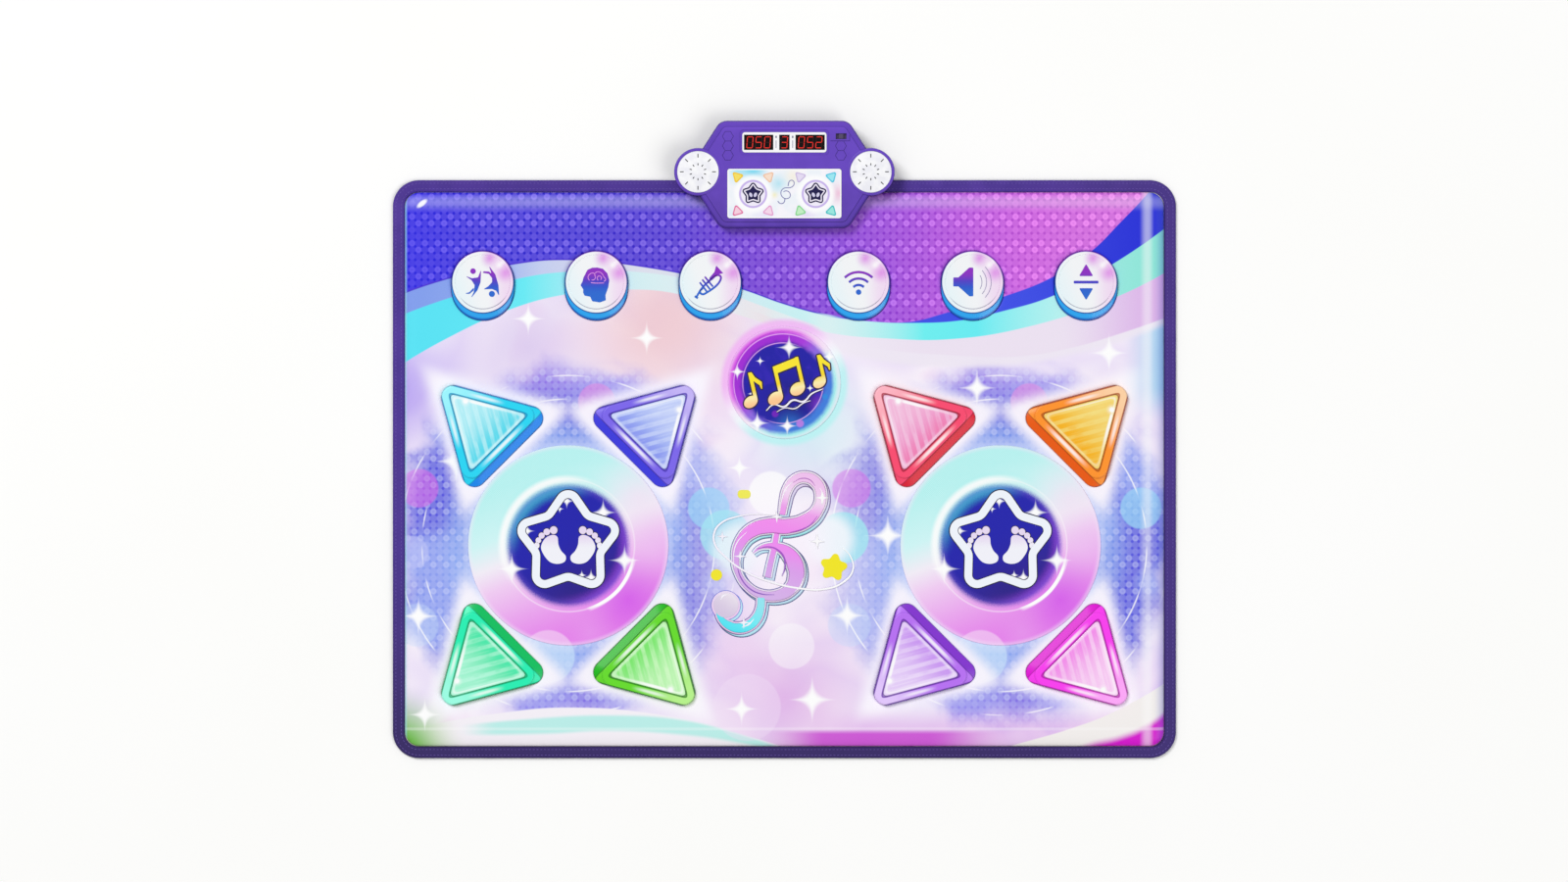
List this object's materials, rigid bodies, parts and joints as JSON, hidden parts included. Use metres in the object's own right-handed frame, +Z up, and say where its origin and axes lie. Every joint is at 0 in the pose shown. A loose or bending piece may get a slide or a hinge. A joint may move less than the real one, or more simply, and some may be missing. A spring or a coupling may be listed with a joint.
{
  "type": "dance rhythm mat",
  "caption": "Padded floor dance mat with side-by-side play areas, sprung triangular step pads, round function keys and a scoring console clipped over its back edge.",
  "frame": {"origin": "centre of the mat's underside, on the floor", "axes": "+X to the players' right, +Y from the players towards the console, +Z up"},
  "size_m": [1.1, 0.8936, 0.0364],
  "materials": {
    "base_cloth": "ribbed non-slip cloth",
    "core_foam": "soft foam",
    "tongue_cloth": "woven tape",
    "circuit_film": "clear film",
    "contact_ink": "printed carbon",
    "spacer_foam": "soft foam",
    "return_foam": "soft foam",
    "wadding": "loose fibre",
    "printed_cover": "printed and laminated cloth",
    "binding_cloth": "woven tape",
    "badge_print": "printed vinyl",
    "disc_print": "printed vinyl",
    "case_purple": "satin",
    "foot_rubber": "matte",
    "screw_steel": "zinc plated",
    "bezel_white": "glossy",
    "display_black": "glossy",
    "board_green": "solder mask",
    "component_black": "moulded",
    "panel_print": "printed clear sheet",
    "light_guide_clear": "clear acrylic",
    "led_white": "lamp",
    "cell_wrap": "wrapped",
    "contact_metal": "nickel plated",
    "grille_white": "glossy",
    "basket_steel": "pressed steel",
    "magnet_ferrite": "sintered",
    "pad_cyan": "glossy",
    "pad_indigo": "glossy",
    "pad_aqua": "glossy",
    "pad_lime": "glossy",
    "pad_pink": "glossy",
    "pad_orange": "glossy",
    "pad_violet": "glossy",
    "pad_magenta": "glossy",
    "key_print": "pearl white over blue",
    "knob_black": "matte",
    "cone_paper": "pressed paper"
  },
  "bodies": {
    "mat": {"non_slip_base": "base_cloth", "foam_core": "core_foam", "anchor_tongue": "tongue_cloth", "circuit_film": "circuit_film", "contact_rings": "contact_ink", "spacer_foam": "spacer_foam", "return_rings": "return_foam", "wadding": "wadding", "cover": "printed_cover", "edge_binding": "binding_cloth", "membrane_tail": "circuit_film", "title_badge": "badge_print", "left_standing_disc": "disc_print", "right_standing_disc": "disc_print", "rear_shell": "case_purple", "front_shell": "case_purple", "rubber_feet": "foot_rubber", "case_screws": "screw_steel", "clamp_bar": "case_purple", "clamp_screws": "screw_steel", "score_bezel": "bezel_white", "left_score_display": "display_black", "round_display": "display_black", "right_score_display": "display_black", "main_board": "board_green", "board_components": "component_black", "board_screws": "screw_steel", "step_panel": "panel_print", "light_guide": "light_guide_clear", "led_board": "board_green", "led_chips": "led_white", "battery_cells": "cell_wrap", "battery_contacts": "contact_metal", "power_switch_body": "component_black", "left_speaker_grille": "grille_white", "right_speaker_grille": "grille_white", "left_speaker_basket": "basket_steel", "right_speaker_basket": "basket_steel", "left_speaker_magnet": "magnet_ferrite", "right_speaker_magnet": "magnet_ferrite"},
    "left_pad_back_left": {"left_pad_back_left": "pad_cyan"},
    "left_pad_back_right": {"left_pad_back_right": "pad_indigo"},
    "left_pad_front_left": {"left_pad_front_left": "pad_aqua"},
    "left_pad_front_right": {"left_pad_front_right": "pad_lime"},
    "right_pad_back_left": {"right_pad_back_left": "pad_pink"},
    "right_pad_back_right": {"right_pad_back_right": "pad_orange"},
    "right_pad_front_left": {"right_pad_front_left": "pad_violet"},
    "right_pad_front_right": {"right_pad_front_right": "pad_magenta"},
    "dance_key": {"dance_key": "key_print"},
    "memory_key": {"memory_key": "key_print"},
    "instrument_key": {"instrument_key": "key_print"},
    "wireless_key": {"wireless_key": "key_print"},
    "volume_key": {"volume_key": "key_print"},
    "level_key": {"level_key": "key_print"},
    "power_switch_knob": {"power_switch_knob": "knob_black"},
    "battery_door": {"battery_door": "case_purple", "battery_door_screws": "screw_steel"},
    "left_speaker_cone": {"left_speaker_cone": "cone_paper"},
    "right_speaker_cone": {"right_speaker_cone": "cone_paper"}
  },
  "joints": [
    {"name": "left_pad_back_left_press", "type": "slide", "parent": "mat", "child": "left_pad_back_left", "axis": [0, 0, -1], "range_m": [0, 0.0015], "stiffness_N_per_m": 4000, "springref_m": -0.0015, "deforming": ["return_rings"]},
    {"name": "left_pad_back_right_press", "type": "slide", "parent": "mat", "child": "left_pad_back_right", "axis": [0, 0, -1], "range_m": [0, 0.0015], "stiffness_N_per_m": 4000, "springref_m": -0.0015, "deforming": ["return_rings"]},
    {"name": "left_pad_front_left_press", "type": "slide", "parent": "mat", "child": "left_pad_front_left", "axis": [0, 0, -1], "range_m": [0, 0.0015], "stiffness_N_per_m": 4000, "springref_m": -0.0015, "deforming": ["return_rings"]},
    {"name": "left_pad_front_right_press", "type": "slide", "parent": "mat", "child": "left_pad_front_right", "axis": [0, 0, -1], "range_m": [0, 0.0015], "stiffness_N_per_m": 4000, "springref_m": -0.0015, "deforming": ["return_rings"]},
    {"name": "right_pad_back_left_press", "type": "slide", "parent": "mat", "child": "right_pad_back_left", "axis": [0, 0, -1], "range_m": [0, 0.0015], "stiffness_N_per_m": 4000, "springref_m": -0.0015, "deforming": ["return_rings"]},
    {"name": "right_pad_back_right_press", "type": "slide", "parent": "mat", "child": "right_pad_back_right", "axis": [0, 0, -1], "range_m": [0, 0.0015], "stiffness_N_per_m": 4000, "springref_m": -0.0015, "deforming": ["return_rings"]},
    {"name": "right_pad_front_left_press", "type": "slide", "parent": "mat", "child": "right_pad_front_left", "axis": [0, 0, -1], "range_m": [0, 0.0015], "stiffness_N_per_m": 4000, "springref_m": -0.0015, "deforming": ["return_rings"]},
    {"name": "right_pad_front_right_press", "type": "slide", "parent": "mat", "child": "right_pad_front_right", "axis": [0, 0, -1], "range_m": [0, 0.0015], "stiffness_N_per_m": 4000, "springref_m": -0.0015, "deforming": ["return_rings"]},
    {"name": "dance_key_press", "type": "slide", "parent": "mat", "child": "dance_key", "axis": [0, 0, -1], "range_m": [0, 0.0015], "stiffness_N_per_m": 3000, "springref_m": -0.001, "deforming": ["return_rings"]},
    {"name": "memory_key_press", "type": "slide", "parent": "mat", "child": "memory_key", "axis": [0, 0, -1], "range_m": [0, 0.0015], "stiffness_N_per_m": 3000, "springref_m": -0.001, "deforming": ["return_rings"]},
    {"name": "instrument_key_press", "type": "slide", "parent": "mat", "child": "instrument_key", "axis": [0, 0, -1], "range_m": [0, 0.0015], "stiffness_N_per_m": 3000, "springref_m": -0.001, "deforming": ["return_rings"]},
    {"name": "wireless_key_press", "type": "slide", "parent": "mat", "child": "wireless_key", "axis": [0, 0, -1], "range_m": [0, 0.0015], "stiffness_N_per_m": 3000, "springref_m": -0.001, "deforming": ["return_rings"]},
    {"name": "volume_key_press", "type": "slide", "parent": "mat", "child": "volume_key", "axis": [0, 0, -1], "range_m": [0, 0.0015], "stiffness_N_per_m": 3000, "springref_m": -0.001, "deforming": ["return_rings"]},
    {"name": "level_key_press", "type": "slide", "parent": "mat", "child": "level_key", "axis": [0, 0, -1], "range_m": [0, 0.0015], "stiffness_N_per_m": 3000, "springref_m": -0.001, "deforming": ["return_rings"]},
    {"name": "power_switch_slide", "type": "slide", "parent": "mat", "child": "power_switch_knob", "axis": [1, 0, 0], "range_m": [-0.0035, 0.0035]},
    {"name": "battery_door_lift_off", "type": "slide", "parent": "mat", "child": "battery_door", "axis": [0, 0, -1], "range_m": [0, 0.015]},
    {"name": "left_speaker_cone_throw", "type": "slide", "parent": "mat", "child": "left_speaker_cone", "axis": [0, 0, 1], "range_m": [-0.0005, 0.0005], "stiffness_N_per_m": 600},
    {"name": "right_speaker_cone_throw", "type": "slide", "parent": "mat", "child": "right_speaker_cone", "axis": [0, 0, 1], "range_m": [-0.0005, 0.0005], "stiffness_N_per_m": 600}
  ]
}
